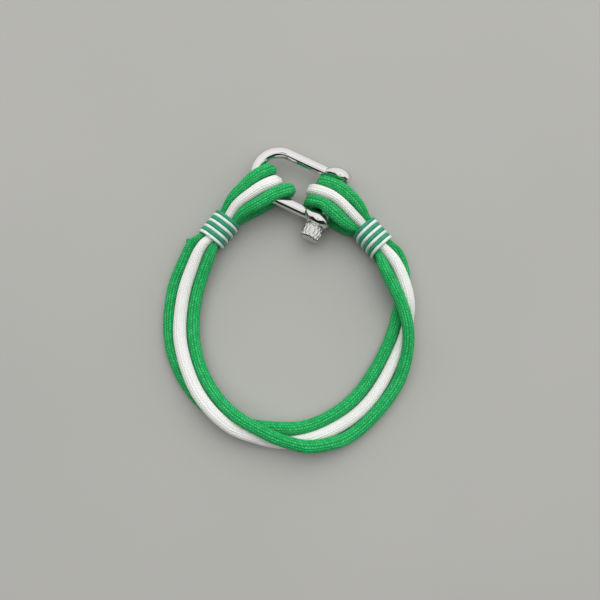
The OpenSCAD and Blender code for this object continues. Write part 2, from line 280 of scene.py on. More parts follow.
def fold_rows(fold):
    """Half a circle round the bar, from below to above."""
    x, y, heading, reach, lean, wide, tall = fold
    ahead = math.cos(math.radians(heading)), math.sin(math.radians(heading))
    right = ahead[1], -ahead[0]
    rows = []
    for angle in range(-90, 90 + FOLD_STEP, FOLD_STEP):
        out, up = math.cos(math.radians(angle)), math.sin(math.radians(angle))
        rows.append((
            x + reach * out * ahead[0] + lean / 2 * up * right[0],
            y + reach * out * ahead[1] + lean / 2 * up * right[1],
            BAR_HEIGHT + (BAR / 2 + FOLD_GAP + tall * CORD / 2) * up,
            wide,
            tall,
        ))
    return rows


def lowered(fan, fold):
    """The fan's lower strand, which drifts to the left as the fold leans to the right."""
    heading, lean = math.radians(fold[2]), fold[4]
    rows = []
    for place, (x, y, z, wide, tall) in enumerate(fan, 1):
        shift = lean * place / len(fan)
        height = tall * CORD / 2 + max(0, BAR_HEIGHT + CORD - z) * LOWER_RISE
        rows.append((x - shift * math.sin(heading), y + shift * math.cos(heading), height, wide, tall))
    return rows


print("top of the outer left fold in mm:", round(fold_rows(OUTER_LEFT_FOLD)[-1][2] * 1000, 2))

# %% Join one cord's rows from end to end
def cord_rows(left_end, left_fan, left_fold, band, right_fold, right_fan, right_end, lane):
    """All rows of one cord, from its left cut end to its right one."""
    inward = (SQUEEZED_HALF, 0, -SQUEEZED_HALF)
    outward = inward[::-1]
    return [
        *left_end[::-1],
        *[lane_row(LEFT_LASHING, LEFT_HAND, a, lane, -1) for a in inward],
        *lowered(left_fan, left_fold),
        *fold_rows(left_fold),
        *left_fan[::-1],
        *[lane_row(LEFT_LASHING, LEFT_HAND, a, lane, 1) for a in outward],
        *band,
        *[lane_row(RIGHT_LASHING, RIGHT_HAND, a, lane, 1) for a in inward],
        *right_fan,
        *fold_rows(right_fold)[::-1],
        *lowered(right_fan, right_fold)[::-1],
        *[lane_row(RIGHT_LASHING, RIGHT_HAND, a, lane, -1) for a in outward],
        *right_end,
    ]


def hidden_end(lashing, hand, lane):
    return [lane_row(lashing, hand, SQUEEZED_HALF + CUT_END, lane, -1)]


ROUTES = {
    "outer_green": cord_rows(
        OUTER_LEFT_END, OUTER_LEFT_FAN, OUTER_LEFT_FOLD, OUTER_BAND, OUTER_RIGHT_FOLD,
        OUTER_RIGHT_FAN, hidden_end(RIGHT_LASHING, RIGHT_HAND, OUTER_LANE), OUTER_LANE,
    ),
    "white": cord_rows(
        hidden_end(LEFT_LASHING, LEFT_HAND, MIDDLE_LANE), WHITE_LEFT_FAN, WHITE_LEFT_FOLD,
        WHITE_BAND, WHITE_RIGHT_FOLD, WHITE_RIGHT_FAN,
        hidden_end(RIGHT_LASHING, RIGHT_HAND, MIDDLE_LANE), MIDDLE_LANE,
    ),
    "inner_green": cord_rows(
        hidden_end(LEFT_LASHING, LEFT_HAND, INNER_LANE), INNER_LEFT_FAN, INNER_LEFT_FOLD,
        INNER_BAND, INNER_RIGHT_FOLD, INNER_RIGHT_FAN, INNER_RIGHT_END, INNER_LANE,
    ),
}
print("route points:", {name: len(rows) for name, rows in ROUTES.items()})

# %% [markdown]
# One smooth line through the points
#
# A cord can't have a corner. A cubic spline whose bend changes evenly passes through all the
# points, as a thin steel rule would. It is then walked in equal steps, a quarter of a stitch
# each, so that every stitch of the braid later gets the same number of rings.

# %% Walk a spline in even steps
RIBS = 16
STITCH = 0.00082
RING = STITCH / 4
FINE_STEPS = 8000
SQUEEZE_BLUR = 12


def smooth_walk(rows, step):
    """Points in even steps along the spline through the rows, with the width and height there."""
    rows = np.array(rows, float)
    spans = np.linalg.norm(np.diff(rows[:, :3], axis=0), axis=1)
    knots = np.concatenate([[0], np.cumsum(spans)])
    size = len(rows)
    system, right = np.eye(size), np.zeros((size, 3))
    for i in range(1, size - 1):
        before, after = spans[i - 1], spans[i]
        system[i, i - 1:i + 2] = before, 2 * (before + after), after
        slopes = (rows[i + 1, :3] - rows[i, :3]) / after - (rows[i, :3] - rows[i - 1, :3]) / before
        right[i] = 6 * slopes
    bends = np.linalg.solve(system, right)

    def place(at):
        i = np.clip(np.searchsorted(knots, at, side="right") - 1, 0, size - 2)
        span = spans[i][:, None]
        b = ((at - knots[i]) / spans[i])[:, None]
        a = 1 - b
        bow = span**2 / 6 * ((a**3 - a) * bends[i] + (b**3 - b) * bends[i + 1])
        return a * rows[i, :3] + b * rows[i + 1, :3] + bow

    dense = np.linspace(0, knots[-1], FINE_STEPS)
    walked = np.linalg.norm(np.diff(place(dense), axis=0), axis=1)
    walked = np.concatenate([[0], np.cumsum(walked)])
    count = round(walked[-1] / step) + 1
    at = np.interp(np.linspace(0, walked[-1], count), walked, dense)
    squeeze = np.stack([np.interp(at, knots, rows[:, k]) for k in (3, 4)], axis=1)
    return place(at), blur(squeeze, SQUEEZE_BLUR)


def blur(values, reach):
    """Evens out the rows of a table, each with its neighbours up to reach rows away."""
    weights = np.hanning(2 * reach + 3)[1:-1]
    weights /= weights.sum()
    padded = np.pad(values, ((reach, reach), (0, 0)), mode="edge")
    return np.stack([np.convolve(column, weights, "valid") for column in padded.T], axis=1)


LINES = {name: smooth_walk(rows, RING) for name, rows in ROUTES.items()}

# %% [markdown]
# The braid
#
# The sheath of such a cord is a tubular braid of 16 yarns. Half of them wind to the left and
# half to the right, and where a yarn comes to the top it shows as a short slanted stitch. So
# the surface is a row of 16 ribs along the cord, whose stitches lean left and right by turns,
# half a stitch apart. Modelling every yarn would cost millions of faces. A tube whose skin
# is raised by the stitch's own height gives the same ribs, their shadows and their outline.
# A cord's section is a little squarer than a circle, and squarer still in a fold, where the
# cord is pulled flat against the bar. At a cut end the sheath is melted, so the ribs fade out
# and the skin closes over the end.

# %% The height of the braid at any place of the skin
RELIEF = 0.00018
STITCH_SLANT = 0.55
GROOVE_FLOOR = 0.27
STITCH_DROP = 0.65


def stitch_height(column, row):
    """1 on a stitch's crown, GROOVE_FLOOR in the groove beside it, and less at its two ends."""
    rib = np.floor(column)
    across = 2 * (column - rib) - 1
    odd = rib % 2
    place = row + 0.5 * odd + STITCH_SLANT * (0.5 - odd) * across
    along = 2 * (place - np.floor(place)) - 1
    crown = GROOVE_FLOOR + (1 - GROOVE_FLOOR) * np.sqrt(np.clip(1 - across**2, 0, 1))
    return crown * (1 - STITCH_DROP * along**4)


print("height in a rib's middle and in a groove:", stitch_height(np.array([0.5, 1.0]), 0.5))

# %% Which way is sideways, all along a cord
SIDE_BLUR = 14


def side_directions(along):
    """A level direction across the line. Where the line is steep, its neighbours decide."""
    flat = np.stack([-along[:, 1], along[:, 0], np.zeros(len(along))], axis=1)
    for i in range(1, len(flat)):
        if flat[i] @ flat[i - 1] < 0:
            flat[i] = -flat[i]
    flat = blur(flat * np.linalg.norm(flat, axis=1)[:, None], SIDE_BLUR)
    flat -= along * np.sum(flat * along, axis=1)[:, None]
    return flat / np.linalg.norm(flat, axis=1)[:, None]


print("sideways on a line that heads for +Y:", side_directions(np.array([[0.0, 1.0, 0.0]] * 30))[0])

# %% Skin a line with rings
SIDES = RIBS * 4
ROWS_EACH = 0.25
SECTION = 2.3
FOLD_SECTION = 3.8
FOLD_BLUR = 8
MEAN_HEIGHT = 0.62
END_ROUND = 0.0003
END_LEAST = 0.01


def rounded(direction, section):
    """A sine or cosine made for a section squarer than a round one."""
    return np.sign(direction) * np.abs(direction) ** (2 / section)


def cord_rings(points, squeeze):
    """The rings round a line, and how far the sheath is melted at each."""
    count = len(points)
    along = np.gradient(points, axis=0)
    along /= np.linalg.norm(along, axis=1)[:, None]
    side = side_directions(along)
    up = np.cross(along, side)
    corner = np.arange(SIDES)
    turn = 2 * np.pi * corner / SIDES
    section = SECTION + (FOLD_SECTION - SECTION) * blur(np.abs(along[:, 2:]), FOLD_BLUR)
    from_end = np.minimum(np.arange(count), np.arange(count)[::-1]) * RING
    close = np.sqrt(np.clip(1 - (1 - from_end / END_ROUND).clip(0) ** 2, END_LEAST, 1))[:, None]
    plain = np.clip(from_end / (2 * END_ROUND), 0, 1)[:, None]
    raised = stitch_height(corner[None, :] * RIBS / SIDES, np.arange(count)[:, None] * ROWS_EACH)
    raised = (raised - MEAN_HEIGHT) * RELIEF * plain
    wide = (squeeze[:, :1] * CORD / 2 + raised) * close
    tall = (squeeze[:, 1:] * CORD / 2 + raised) * close
    rings = points[:, None] + side[:, None] * (wide * rounded(np.cos(turn), section))[..., None]
    rings = rings + up[:, None] * (tall * rounded(np.sin(turn), section))[..., None]
    return rings, 1 - plain[:, 0]


print("corners on each ring:", SIDES)

# %% Make pieces from rings of points
def show(mesh):
    """Puts a mesh into the scene, as an object of the same name."""
    piece = bpy.data.objects.new(mesh.name, mesh)
    scene.collection.objects.link(piece)
    return piece


def smooth_piece(name, points, faces):
    mesh = bpy.data.meshes.new(name)
    mesh.from_pydata(points.reshape(-1, 3).tolist(), [], faces)
    mesh.shade_smooth()
    return show(mesh)


def ring_walls(starts, ends, sides):
    """Four-sided faces between rings. The two lists give each ring's first corner and its next's."""
    corner = np.arange(sides)
    following = (corner + 1) % sides
    starts, ends = starts[:, None], ends[:, None]
    walls = np.stack([starts + corner, starts + following, ends + following, ends + corner], axis=-1)
    return walls.reshape(-1, 4).tolist()


def ring_mesh(name, rings):
    """A tube with closed ends, whose map counts the ribs round it and the stitches along it."""
    count, sides, _ = rings.shape
    corner, firsts = np.arange(sides), np.arange(count) * sides
    ends = [corner[::-1].tolist(), (corner + firsts[-1]).tolist()]
    piece = smooth_piece(name, rings, ring_walls(firsts[:-1], firsts[1:], sides) + ends)
    across = np.stack([corner, corner + 1, corner + 1, corner], axis=-1) * RIBS / sides
    rows = (np.arange(count - 1)[:, None, None] + np.array([0, 0, 1, 1])) * ROWS_EACH
    rows = np.broadcast_to(rows, (count - 1, sides, 4))
    across = np.broadcast_to(across, rows.shape)
    caps = np.concatenate([np.zeros((sides, 2)), np.tile([0, count * ROWS_EACH], (sides, 1))])
    places = np.concatenate([np.stack([across, rows], axis=-1).reshape(-1, 2), caps])
    piece.data.uv_layers.new(name="weave").data.foreach_set("uv", places.astype(np.float32).ravel())
    return piece


print("faces between two rings:", len(ring_walls(np.array([0]), np.array([SIDES]), SIDES)))

# %% Braid the three cords
CORD_PIECES = {}
for name, (points, squeeze) in LINES.items():
    rings, melted = cord_rings(points, squeeze)
    piece = ring_mesh(name + "_braid", rings)
    attribute = piece.data.attributes.new("melted", "FLOAT", "POINT")
    attribute.data.foreach_set("value", np.repeat(melted, SIDES).astype(np.float32))
    CORD_PIECES[name] = piece
    print(piece.name, "rings:", len(points), "triangles:", 2 * len(piece.data.polygons))

# %% [markdown]
# Small tools for node trees
#
# Materials and Geometry Nodes are both trees of nodes. Such a tree could be clicked together in
# Blender's editor, but a script can be read, changed and run again. A few helpers keep it
# short: they feed an input, add a node, add a Math node and return its result, and make a
# tree's own named sockets.

# %% Helpers for node trees
def feed(tree, socket, value):
    if isinstance(value, bpy.types.NodeSocket):
        tree.links.new(value, socket)
    else:
        socket.default_value = value


def node(tree, kind, feeds=None, **settings):
    """Adds a node. feeds holds a value or a link for each input, by name or number."""
    added = tree.nodes.new(kind)
    for name, value in settings.items():
        setattr(added, name, value)
    for socket, value in (feeds or {}).items():
        feed(tree, added.inputs[socket], value)
    return added


def tools_in(tree):
    """Two tools for one tree, which return a new node's first output: one for sums, one for the rest."""
    def add(kind, feeds=None, **settings):
        return node(tree, kind, feeds, **settings).outputs[0]

    def calc(operation, *values):
        return add("ShaderNodeMath", dict(enumerate(values)), operation=operation)

    return calc, add


def add_sockets(tree, inputs, outputs):
    for name, kind, value in inputs:
        socket = tree.interface.new_socket(name, in_out="INPUT", socket_type="NodeSocket" + kind)
        if value is not None:
            socket.default_value = value
    for name, kind in outputs:
        tree.interface.new_socket(name, in_out="OUTPUT", socket_type="NodeSocket" + kind)
    return node(tree, "NodeGroupInput").outputs, node(tree, "NodeGroupOutput").inputs


print("helpers for node trees: feed, node, tools_in and add_sockets")

# %% Helpers for Geometry Nodes
def end_tree(tree, geometry, finish, result):
    """Every tree ends by making instances real and giving the mesh its finish."""
    real = node(tree, "GeometryNodeRealizeInstances", {0: geometry}).outputs[0]
    finished = node(tree, "GeometryNodeSetMaterial", {"Geometry": real, "Material": finish}).outputs[0]
    feed(tree, result["Geometry"], finished)


def grown_piece(name, tree, **values):
    """Turns a tree's result into a plain mesh."""
    seed = show(bpy.data.meshes.new(name + "_seed"))
    modifier = seed.modifiers.new("grow", "NODES")
    modifier.node_group = tree
    sockets = {s.name: s.identifier for s in tree.interface.items_tree if s.in_out == "INPUT"}
    for label, value in values.items():
        modifier[sockets[label.replace("_", " ")]] = value
    grown = seed.evaluated_get(bpy.context.evaluated_depsgraph_get())
    mesh = bpy.data.meshes.new_from_object(grown)
    seed.modifiers.remove(modifier)
    bpy.data.objects.remove(seed)
    mesh.name = name
    return show(mesh)


print("helpers for Geometry Nodes: end_tree and grown_piece")

# %% [markdown]
# The lashings
#
# A lashing is wound from two thin cords at once, a green one and a white one, so its turns
# take it in turn. Each is a helix on a rounded square, the shape that the bundled strands
# press into. Most of the step from one turn to the next is made on the underside, so the
# turns lie nearly straight across on top. Geometry Nodes suit this well: one tree
# with named inputs makes all four thin cords. The thin cord is twisted from three
# strands, and a wave that runs round and along it gives it that twist.

# %% Start the lashing's tree
THREAD_THICK = 0.00082
THREAD_WIDE = 0.0010
THREAD_PITCH = 0.00106
TURNS = 4
POINTS_A_TURN = 90

lashing_tree = bpy.data.node_groups.new("lashing turns", "GeometryNodeTree")
asked, made = add_sockets(
    lashing_tree,
    [
        ("Geometry", "Geometry", None),
        ("Width", "Float", LASHING_WIDTH),
        ("Height", "Float", LASHING_HEIGHT),
        ("Squareness", "Float", 2.6),
        ("Pitch", "Float", THREAD_PITCH),
        ("Turns", "Float", float(TURNS)),
        ("Start", "Float", 0.0),
        ("Step Below", "Float", 0.6),
        ("Points a Turn", "Float", float(POINTS_A_TURN)),
        ("Thread Width", "Float", THREAD_WIDE),
        ("Thread Thickness", "Float", THREAD_THICK),
        ("Twist Length", "Float", 0.0021),
        ("Twist Depth", "Float", 0.00007),
        ("Middle", "Vector", (0.0, 0.0, 0.0)),
        ("Heading", "Float", 0.0),
        ("Finish", "Material", None),
    ],
    [("Geometry", "Geometry")],
)
wind, lay = tools_in(lashing_tree)
print("a lashing has", TURNS, "turns of each thread,", round(2 * THREAD_PITCH * 1000, 2), "mm apart")

# %% The helix's rule
def half_side(size, direction):
    """How far the thread's middle lies from the lashing's middle, on a rounded square."""
    half = wind("MULTIPLY", wind("SUBTRACT", size, asked["Thread Thickness"]), 0.5)
    power = wind("DIVIDE", 2.0, asked["Squareness"])
    reach = wind("POWER", wind("ABSOLUTE", direction), power)
    return wind("MULTIPLY", wind("MULTIPLY", reach, wind("SIGN", direction)), half)


def helix_place(point):
    """Along, across and height of the thread's middle at a point of the helix."""
    turn = wind("DIVIDE", wind("ADD", point, 0.5), asked["Points a Turn"])
    angle = wind("MULTIPLY_ADD", turn, 2 * math.pi, -math.pi / 2)
    swing = wind("SINE", wind("MULTIPLY", turn, 2 * math.pi))
    step = wind("MULTIPLY_ADD", swing, wind("DIVIDE", asked["Step Below"], 2 * math.pi), turn)
    order = wind("ADD", wind("MULTIPLY_ADD", step, 2.0, -1.0), asked["Start"])
    middle = wind("SUBTRACT", asked["Turns"], 0.5)
    along = wind("MULTIPLY", wind("SUBTRACT", order, middle), asked["Pitch"])
    across = half_side(asked["Width"], wind("COSINE", angle))
    height = half_side(asked["Height"], wind("SINE", angle))
    return along, across, height


print("a lashing's section in mm:", [round(v * 1000, 1) for v in (LASHING_WIDTH, LASHING_HEIGHT)])

# %% Lay the helix's points and join them
# The last turn stops short of the underside's middle, where the real thread's end is tucked in.
LAID_SHARE = 0.97


def turned_to_heading(vector):
    feeds = {"Vector": vector, "Angle": wind("RADIANS", asked["Heading"])}
    return lay("ShaderNodeVectorRotate", feeds, rotation_type="Z_AXIS")


laid_points = wind("MULTIPLY", wind("MULTIPLY", asked["Turns"], asked["Points a Turn"]), LAID_SHARE)
dots = lay("GeometryNodeMeshLine", {"Count": laid_points}, mode="OFFSET")
index = lay("GeometryNodeInputIndex")
local = lay("ShaderNodeCombineXYZ", dict(enumerate(helix_place(index))))
feeds = {0: turned_to_heading(local), 1: asked["Middle"]}
placed = lay("ShaderNodeVectorMath", feeds, operation="ADD")
laid = lay("GeometryNodeSetPosition", {"Geometry": dots, "Position": placed})
helix = lay("GeometryNodeMeshToCurve", {0: laid})
print("points on each helix:", int(TURNS * POINTS_A_TURN * LAID_SHARE))

# %% Thicken the helix into a thread
THREAD_SIDES = 24


def remembered(curve, name, output):
    """Keeps a number of a curve on its points, where the thread's skin can still read it."""
    keep = node(lashing_tree, "GeometryNodeCaptureAttribute", {0: curve})
    keep.capture_items.new("FLOAT", name)
    spline = node(lashing_tree, "GeometryNodeSplineParameter")
    feed(lashing_tree, keep.inputs[1], spline.outputs[output])
    return keep.outputs[0], keep.outputs[1]


# The section's flat side faces the strands, so the curve's normal points along the lashing.
feeds = {"Curve": helix, "Normal": turned_to_heading((1.0, 0.0, 0.0))}
facing = lay("GeometryNodeSetCurveNormal", feeds, mode="FREE")
path, run = remembered(facing, "run", "Length")
feeds = {"Resolution": THREAD_SIDES, "Radius": 0.5}
circle = lay("GeometryNodeCurvePrimitiveCircle", feeds)
ring, around = remembered(circle, "around", "Factor")
feeds = {0: asked["Thread Width"], 1: asked["Thread Thickness"]}
flat = lay("ShaderNodeCombineXYZ", feeds)
oval = lay("GeometryNodeTransform", {"Geometry": ring, "Scale": flat})
feeds = {"Curve": path, "Profile Curve": oval, "Fill Caps": True}
thread = lay("GeometryNodeCurveToMesh", feeds)
print("corners round the thread:", THREAD_SIDES)

# %% Twist its three strands and finish the tree
STRANDS = 3
RIDGE_MEAN = 0.8
wound = wind("MULTIPLY", around, STRANDS * math.pi)
travelled = wind("MULTIPLY", wind("DIVIDE", run, asked["Twist Length"]), STRANDS * math.pi)
ridge = wind("ABSOLUTE", wind("COSINE", wind("ADD", wound, travelled)))
lift = wind("MULTIPLY", wind("SUBTRACT", ridge, RIDGE_MEAN), asked["Twist Depth"])
feeds = {0: lay("GeometryNodeInputNormal"), "Scale": lift}
outwards = lay("ShaderNodeVectorMath", feeds, operation="SCALE")
feeds = {"Geometry": thread, "Offset": outwards}
twisted = lay("GeometryNodeSetPosition", feeds)
smooth = lay("GeometryNodeSetShadeSmooth", {"Geometry": twisted})
end_tree(lashing_tree, smooth, asked["Finish"], made)
print("lashing tree nodes:", len(lashing_tree.nodes))

# %% [markdown]
# The weave's pattern
#
# The cord's finish is worked out from the braid's own map, whose first number counts the
# ribs round the cord and whose second counts the stitches along it. A picture of cloth wrapped
# round the tube would miss the real stitches. Sums like the mesh's own say where each stitch
# lies and how high it is, so the grooves get their painted shade just where the skin dips. Each
# stitch also gets its own tone, and fine lines along it stand for the yarn's filaments.

# %% A node group for the braid
FILAMENTS = 5.0
FILAMENT_SLANT = 0.8
TUCK = 0.8

weave = bpy.data.node_groups.new("braid weave", "ShaderNodeTree")
weave_in, weave_out = add_sockets(
    weave,
    [("Map", "Vector", None), ("Slant", "Float", STITCH_SLANT), ("Filaments", "Float", FILAMENTS)],
    [("Yarn", "Float"), ("Tone", "Float"), ("Filament", "Float")],
)
plait, add_plait = tools_in(weave)
column, row, _ = node(weave, "ShaderNodeSeparateXYZ", {0: weave_in["Map"]}).outputs
rib = plait("FLOOR", column)
beside = plait("MULTIPLY_ADD", plait("SUBTRACT", column, rib), 2.0, -1.0)
odd = plait("FLOORED_MODULO", rib, 2.0)
sense = plait("SUBTRACT", 0.5, odd)
slanted = plait("MULTIPLY", plait("MULTIPLY", sense, beside), weave_in["Slant"])
position = plait("ADD", plait("MULTIPLY_ADD", odd, 0.5, row), slanted)
stitch = plait("FLOOR", position)
lengthwise = plait("MULTIPLY_ADD", plait("SUBTRACT", position, stitch), 2.0, -1.0)
# The yarn's height also sets the painted groove shade in the finish.
crown = plait("MULTIPLY_ADD", plait("MULTIPLY", beside, beside), GROOVE_FLOOR - 1, 1.0)
tuck = plait("MULTIPLY_ADD", plait("POWER", plait("ABSOLUTE", lengthwise), 3.0), -TUCK, 1.0)
feed(weave, weave_out["Yarn"], plait("MULTIPLY", crown, tuck))
which = add_plait("ShaderNodeCombineXYZ", {0: rib, 1: stitch})
chance = node(weave, "ShaderNodeTexWhiteNoise", {"Vector": which}, noise_dimensions="2D")
feed(weave, weave_out["Tone"], chance.outputs["Value"])
phase = plait("MULTIPLY_ADD", plait("MULTIPLY", sense, lengthwise), FILAMENT_SLANT, beside)
lines = plait("MULTIPLY", plait("MULTIPLY", phase, weave_in["Filaments"]), math.pi)
feed(weave, weave_out["Filament"], plait("MULTIPLY_ADD", plait("SINE", lines), 0.5, 0.5))
print("weave group nodes:", len(weave.nodes))

# %% [markdown]
# Green and white braid
#
# The cord is polyester: a fairly bright colour, a soft gloss on the crown of each yarn, and a
# faint haze of light at the edges, which sheen gives. Little light reaches the grooves, and
# their shade is painted into the colour as a much darker tone. At a cut end the sheath is
# melted, so it is smooth there, darker and glossier, in that same dark tone. Both colours could
# be built apart, but one function with three tones for each keeps them alike.

# %% Helpers for a finish
def new_finish(name, roughness, sheen=0.0, metallic=0.0):
    finish = bpy.data.materials.new(name)
    finish.use_nodes = True
    tree = finish.node_tree
    shader = tree.nodes["Principled BSDF"]
    shader.inputs["Roughness"].default_value = roughness
    shader.inputs["Sheen Weight"].default_value = sheen
    shader.inputs["Metallic"].default_value = metallic
    return finish, tree, shader


def blend_colours(tree, share, first, second):
    return node(tree, "ShaderNodeMix", {0: share, 6: first, 7: second}, data_type="RGBA").outputs[2]


def spread(tree, value, low, high, to_low=0.0, to_high=1.0):
    feeds = dict(enumerate((value, low, high, to_low, to_high)))
    return node(tree, "ShaderNodeMapRange", feeds).outputs[0]


def noise(tree, place, scale, detail=2.0):
    feeds = {"Vector": place, "Scale": scale, "Detail": detail}
    return node(tree, "ShaderNodeTexNoise", feeds).outputs[0]


def own_place(tree):
    """Where a point of the surface is on its own object."""
    return node(tree, "ShaderNodeTexCoord").outputs["Object"]


def placed_group(tree, group):
    """A group's node in a material, fed with the place on the piece."""
    placed = node(tree, "ShaderNodeGroup", node_tree=group)
    feed(tree, placed.inputs["Place"], own_place(tree))
    return placed.outputs


def add_bump(tree, shader, height, distance):
    bump = node(tree, "ShaderNodeBump", {"Height": height, "Distance": distance})
    feed(tree, shader.inputs["Normal"], bump.outputs[0])


print("helpers for a finish: blend_colours, spread, noise, own_place, placed_group, add_bump")

# %% The braid finish, in two colours
BRAID_ROUGHNESS = 0.55
BRAID_SHEEN = 0.03
CLOTH_SPECULAR = 0.3
MELTED_ROUGHNESS = 0.25
# The range of stitch height over which the painted groove shade gives way to the yarn's colour.
GROOVE_SHADE_RANGE = (0.10, 0.80)
FILAMENT_RELIEF = 0.12
BUMP_SHARE = 0.6


def braid_finish(name, groove, yarn, bright):
    finish, tree, shader = new_finish(name, BRAID_ROUGHNESS, BRAID_SHEEN)
    calc, add = tools_in(tree)
    shader.inputs["Specular IOR Level"].default_value = CLOTH_SPECULAR
    group = node(tree, "ShaderNodeGroup", node_tree=weave)
    feed(tree, group.inputs["Map"], add("ShaderNodeUVMap", uv_map="weave"))
    height, tone, filament = (group.outputs[output] for output in ("Yarn", "Tone", "Filament"))
    melted = node(tree, "ShaderNodeAttribute", attribute_name="melted").outputs["Fac"]
    toned = blend_colours(tree, tone, yarn, bright)
    # Painted shade: the dark groove colour takes over where the stitch is low.
    woven_with_shade = blend_colours(tree, spread(tree, height, *GROOVE_SHADE_RANGE), groove, toned)
    feed(tree, shader.inputs["Base Color"], blend_colours(tree, melted, woven_with_shade, groove))
    roughness = spread(tree, melted, 0, 1, BRAID_ROUGHNESS, MELTED_ROUGHNESS)
    feed(tree, shader.inputs["Roughness"], roughness)
    relief = calc("MULTIPLY_ADD", filament, FILAMENT_RELIEF, height)
    relief = calc("MULTIPLY", relief, calc("SUBTRACT", 1.0, melted))
    add_bump(tree, shader, relief, RELIEF * BUMP_SHARE)
    return finish


# The first colour of each is a painted shade for the grooves, and also the melted end's tone.
GREEN_SHADE_AND_MELT = (0.001, 0.09, 0.020, 1)
GREEN_YARN = (0.005, 0.43, 0.100, 1)
GREEN_BRIGHT = (0.032, 0.60, 0.175, 1)
WHITE_SHADE_AND_MELT = (0.72, 0.73, 0.70, 1)
WHITE_YARN = (0.85, 0.845, 0.82, 1)
WHITE_BRIGHT = (0.90, 0.895, 0.87, 1)
green_braid = braid_finish("green braid", GREEN_SHADE_AND_MELT, GREEN_YARN, GREEN_BRIGHT)
white_braid = braid_finish("white braid", WHITE_SHADE_AND_MELT, WHITE_YARN, WHITE_BRIGHT)
print("braid finishes:", green_braid.name, "and", white_braid.name)

CORD_FACTS = {
    "outer_green": (green_braid, "outer_green_cord", "green_cord"),
    "white": (white_braid, "white_cord", "white_cord"),
    "inner_green": (green_braid, "inner_green_cord", "green_cord"),
}
for name, (finish, solid, slot) in CORD_FACTS.items():
    piece = CORD_PIECES[name]
    piece.data.materials.append(finish)
    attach(piece, "bracelet")
    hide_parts(solid)
    path = LINES[name][0][::5]

# %% [markdown]
# Satin thread
#
# The thin cords are twisted and pulled tight, so they shine a little more than the braid. Their
# filaments are finer than a pixel of any picture from here, so they aren't drawn one by one: a
# fine noise stands for them, and a broader one for the dye, which took unevenly. Both threads
# need these noises, so they are a node group, built once and placed in each finish.

# %% A node group for the threads
DYE_SHARE = 0.6
SHADE_RANGE = (0.3, 0.6)

threads = bpy.data.node_groups.new("thread filaments", "ShaderNodeTree")
threads_in, threads_out = add_sockets(
    threads,
    [("Place", "Vector", None), ("Filament Scale", "Float", 5200.0), ("Dye Scale", "Float", 900.0)],
    [("Shade", "Float"), ("Filament", "Float")],
)
spin, _ = tools_in(threads)
fine = noise(threads, threads_in["Place"], threads_in["Filament Scale"])
broad = noise(threads, threads_in["Place"], threads_in["Dye Scale"])
mixed = spin("MULTIPLY_ADD", broad, DYE_SHARE, spin("MULTIPLY", fine, 1 - DYE_SHARE))
feed(threads, threads_out["Shade"], spread(threads, mixed, *SHADE_RANGE))
feed(threads, threads_out["Filament"], fine)
print("thread group nodes:", len(threads.nodes))

# %% Thread finishes
THREAD_ROUGHNESS = 0.45
THREAD_SHEEN = 0.1
THREAD_RELIEF = 0.00004


def thread_finish(name, dark, plain):
    finish, tree, shader = new_finish(name, THREAD_ROUGHNESS, THREAD_SHEEN)
    spun = placed_group(tree, threads)
    feed(tree, shader.inputs["Base Color"], blend_colours(tree, spun["Shade"], dark, plain))
    add_bump(tree, shader, spun["Filament"], THREAD_RELIEF)
    return finish


teal_thread = thread_finish("green thread", (0.006, 0.19, 0.095, 1), (0.016, 0.31, 0.175, 1))
white_thread = thread_finish("white thread", (0.52, 0.68, 0.59, 1), (0.72, 0.85, 0.77, 1))
print("thread finishes:", teal_thread.name, "and", white_thread.name)

# %% Wind the four thin cords
LASHINGS = {
    "left_lashing_green": (LEFT_LASHING, 0, teal_thread, "green_lashing"),
    "left_lashing_white": (LEFT_LASHING, 1, white_thread, "white_lashing"),
    "right_lashing_green": (RIGHT_LASHING, 0, teal_thread, "green_lashing"),
    "right_lashing_white": (RIGHT_LASHING, 1, white_thread, "white_lashing"),
}
for solid, ((x, y, direction), start, finish, slot) in LASHINGS.items():
    piece = grown_piece(
        solid + "_turns", lashing_tree, Middle=(x, y, LASHING_HEIGHT / 2),
        Heading=float(direction), Start=float(start), Finish=finish,
    )
    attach(piece, "bracelet")
    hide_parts(solid)
    sizes = [round(v * 1000, 1) for v in piece.dimensions]
    print(piece.name, "triangles:", sum(len(f.vertices) - 2 for f in piece.data.polygons), "mm:", sizes)

# %% [markdown]
# The shackle
#
# A D-shackle is forged from one round bar: a bow, two legs, and an eye at the end of each leg
# that the pin goes through. It was then polished and plated, so every surface is smooth and
# every edge is round. The bar is skinned with rings along its path, as the cords are. A
# fine groove marks where each leg was dressed. Each eye is turned from a profile like a bowl
# on a lathe, and then drawn out towards its leg, so that it swells out of the leg like a drop.

# %% Sizes of the clasp
SHACKLE_TURN = math.radians(-26)
PIN_PLACE = np.array([0.0121, 0.0299, BAR_HEIGHT])
LEG_SPACING = 0.0140
LEG_LENGTH = 0.0167
EYE_FACE = LEG_SPACING / 2 - BAR / 2 + 0.0002
EYE_THICK = 0.0042
EYE_WIDE = 0.0074
PIN = 0.0034
PIN_HOLE = PIN + 0.00012


def at_pin(points):
    """From the clasp's own directions, X from the bow to the pin, to the table's."""
    c, s = math.cos(SHACKLE_TURN), math.sin(SHACKLE_TURN)
    x, y, z = np.moveaxis(np.asarray(points, float), -1, 0)
    return np.stack([x * c - y * s, x * s + y * c, z], axis=-1) + PIN_PLACE


print("eyes' middles, mm from the clasp's middle line:", round((EYE_FACE + EYE_THICK / 2) * 1000, 2))

# %% The bar: two legs and the bow
BAR_STEP = 0.00012
BAR_SIDES = 48
LEG_END = 0.0020
CREASE_AT = 0.0045
CREASE_DEPTH = 0.00008
CREASE_WIDE = 0.00018

